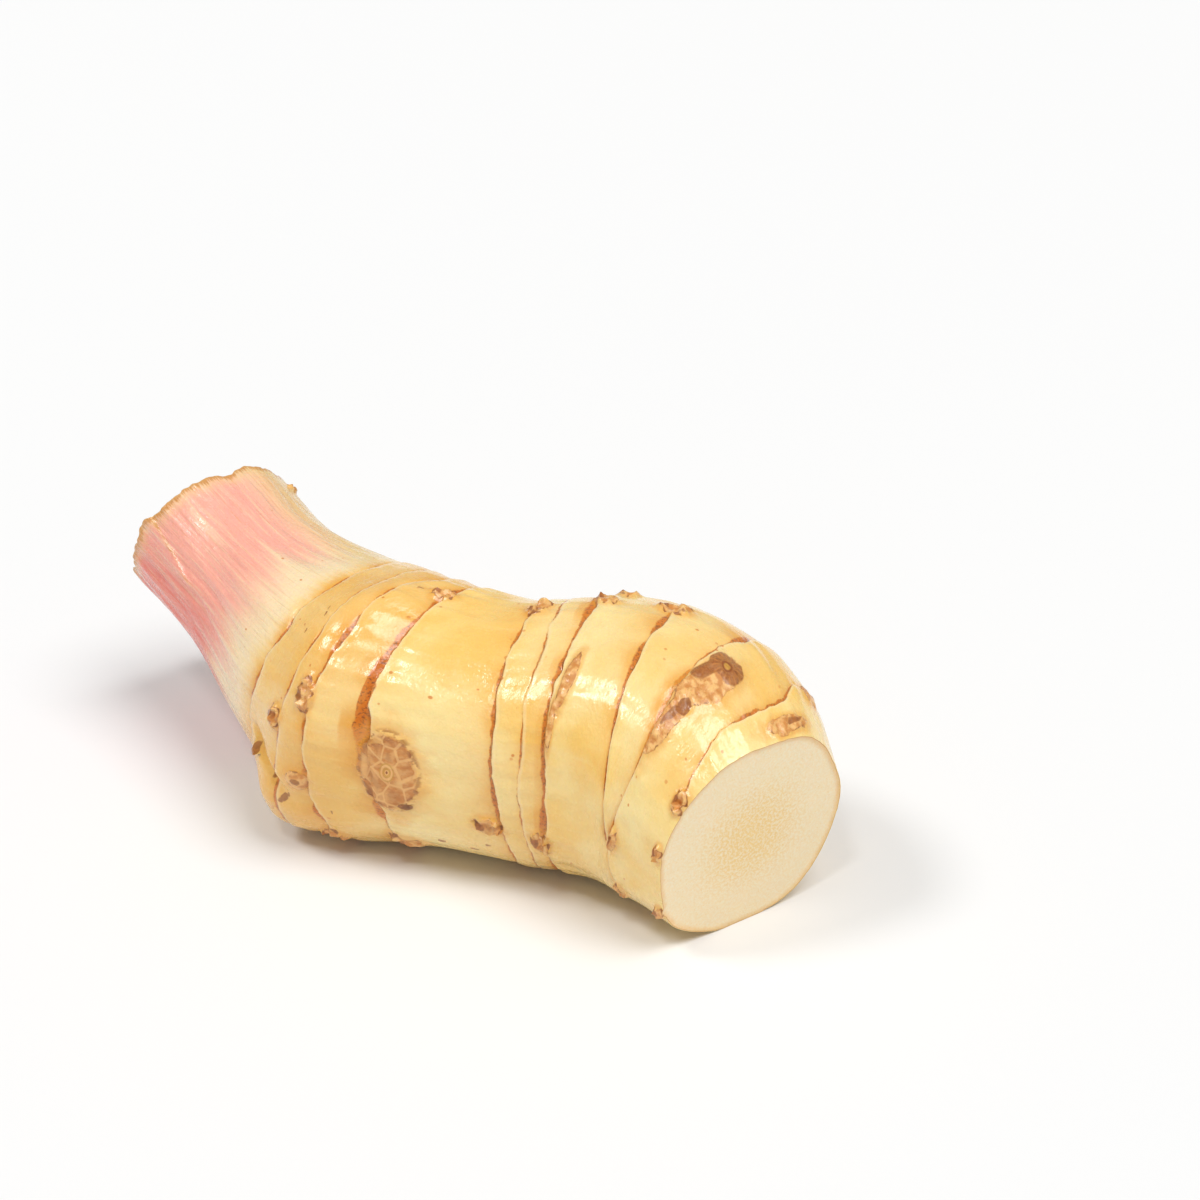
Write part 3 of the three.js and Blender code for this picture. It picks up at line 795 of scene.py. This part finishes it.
    # Broken end of the stub: rolled sheaths, dry and brown along their edges.
    layers = s.math("SINE", s.times(s.add(end_share, s.times(s.add(fibres, -0.5), 0.05)), 27.0))
    torn = s.mix(s.step(fibres, 0.40, 0.62), SHEATH_CREAM, PINK)
    torn = s.mix(s.step(layers, 0.5, 1.0, 0.0, 0.5), torn, RIM_BROWN)
    torn = s.mix(s.step(end_share, 0.90, 0.99, 0.0, 0.8), torn, RIM_BROWN)
    torn = s.mix(s.step(crumb, 0.62, 0.74, 0.0, 0.5), torn, SCAR_BROWN)
    on_torn = s.times(s.step(end_kind, 0.5, 0.6), s.math("SUBTRACT", 1.0, on_cut))
    colour = s.mix(on_torn, colour, torn)
    s.link(colour, s.shader.inputs["Base Color"])

    # Gloss: waxy skin, dull cork and flesh.
    gloss = s.step(s.noise(roll, 0.6, 2, 0.6), 0.3, 0.7, 0.17, 0.32)
    gloss = s.add(gloss, s.times(on_cork, 0.22))
    gloss = s.add(gloss, s.times(on_cut, 0.20))
    gloss = s.add(gloss, s.times(on_torn, 0.3))
    s.link(gloss, s.shader.inputs["Roughness"])

    # Fine relief: soft wrinkles on the body, fibres on the stub, grain on cork and flesh.
    skin_part = s.times(s.math("SUBTRACT", 1.0, on_cut), s.math("SUBTRACT", 1.0, on_torn))
    swirl = s.noise(s.scaled(roll, 1.0, 1.0, 1.5), 0.8, 2, 0.6)
    height = s.times(s.times(swirl, skin_part), 0.9)
    height = s.add(height, s.times(s.times(fibre, on_stub), 1.5))
    height = s.add(height, s.times(s.times(fibre_fine, on_stub), 0.7))
    height = s.add(height, s.times(s.times(crumb, on_cork), 1.2))
    height = s.add(height, s.times(s.times(fibres, on_cut), 0.8))
    height = s.add(height, s.times(s.times(crumb, on_torn), 1.2))
    normal = s.bump(height, 0.55, 0.00022)
    s.link(normal, s.shader.inputs["Normal"])

    s.shader.inputs["Subsurface Weight"].default_value = 0.3
    s.shader.inputs["Subsurface Radius"].default_value = (1.0, 0.72, 0.42)
    s.shader.inputs["Subsurface Scale"].default_value = 0.0016
    s.shader.inputs["Specular IOR Level"].default_value = 0.5
    s.shader.inputs["Coat Weight"].default_value = 0.35
    s.shader.inputs["Coat Roughness"].default_value = 0.12
    return s.material


root.data.materials.append(skin_material())
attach(root, "root")
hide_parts(NODE)


# ---------------------------------------------------------------- floor, light and camera
def floor_material():
    """Plain, nearly even white."""
    s = Shade("floor")
    coords = s.tree.nodes.new("ShaderNodeTexCoord").outputs["Object"]
    tone = s.mix(s.noise(coords, 3.0, 2, 0.5), (0.845, 0.845, 0.845, 1), (0.86, 0.86, 0.86, 1))
    s.link(tone, s.shader.inputs["Base Color"])
    s.shader.inputs["Roughness"].default_value = 0.8
    s.shader.inputs["Specular IOR Level"].default_value = 0.2
    return s.material


span = float((cad_high - cad_low).max())
FLOOR_HALF = 30 * span
floor_mesh = bpy.data.meshes.new("floor")
corners = [(-1, -1), (1, -1), (1, 1), (-1, 1)]
floor_mesh.from_pydata(
    [(x * FLOOR_HALF, y * FLOOR_HALF, float(cad_low[2])) for x, y in corners], [], [(0, 1, 2, 3)])
floor_mesh.materials.append(floor_material())
floor = bpy.data.objects.new("floor", floor_mesh)
bpy.context.scene.collection.objects.link(floor)

middle = Vector(((cad_low + cad_high) / 2).tolist())
LIGHT_DISTANCE = 5.0  # in root lengths


def soft_light(name, azimuth, elevation, spread, power, tint):
    """A distant studio light, as soft as its spread in degrees is wide."""
    light = bpy.data.lights.new(name, "SUN")
    light.angle = math.radians(spread)
    light.energy = power
    light.color = tint
    holder = bpy.data.objects.new(name, light)
    a, e = math.radians(azimuth), math.radians(elevation)
    back = Vector((math.sin(a) * math.cos(e), -math.cos(a) * math.cos(e), math.sin(e)))
    holder.location = middle + back * LIGHT_DISTANCE * span
    holder.rotation_mode = "QUATERNION"
    holder.rotation_quaternion = (-back).to_track_quat("-Z", "Y")
    bpy.context.scene.collection.objects.link(holder)


# Name, azimuth and elevation, spread in degrees, power and tint.
soft_light("key", 94, 64, 34, 1.8, (1.0, 1.0, 0.99))
soft_light("window", -42, 55, 15, 0.85, (1.0, 1.0, 1.0))
soft_light("lamp", 18, 62, 8, 0.4, (1.0, 1.0, 1.0))

world = bpy.data.worlds.new("studio")
world.use_nodes = True
world.node_tree.nodes["Background"].inputs["Color"].default_value = (1.0, 1.0, 1.0, 1.0)
world.node_tree.nodes["Background"].inputs["Strength"].default_value = 0.31
scene = bpy.context.scene
scene.world = world
scene.view_settings.view_transform = "Standard"

# The camera looks down at 30 degrees from the right of the front, with a long lens. It aims
# above and behind the root, which leaves the root low and to the left of the picture.
AZIMUTH = 40.0
ELEVATION = 30.0
LENS_MM = 100.0
DISTANCE = 4.45 * span
AIM_BEHIND = Vector((0.012, 0.282, 0.184)) * span

camera_data = bpy.data.cameras.new("camera")
camera_data.lens = LENS_MM
camera_data.sensor_width = 36.0
camera_data.clip_start = 0.01
camera = bpy.data.objects.new("camera", camera_data)
bpy.context.scene.collection.objects.link(camera)
a, e = math.radians(AZIMUTH), math.radians(ELEVATION)
back = Vector((math.sin(a) * math.cos(e), -math.cos(a) * math.cos(e), math.sin(e)))
aim = Vector((middle.x, middle.y, float(cad_low[2]))) + AIM_BEHIND
camera.location = aim + back * DISTANCE
camera.rotation_mode = "QUATERNION"
camera.rotation_quaternion = (-back).to_track_quat("-Z", "Y")
scene.camera = camera
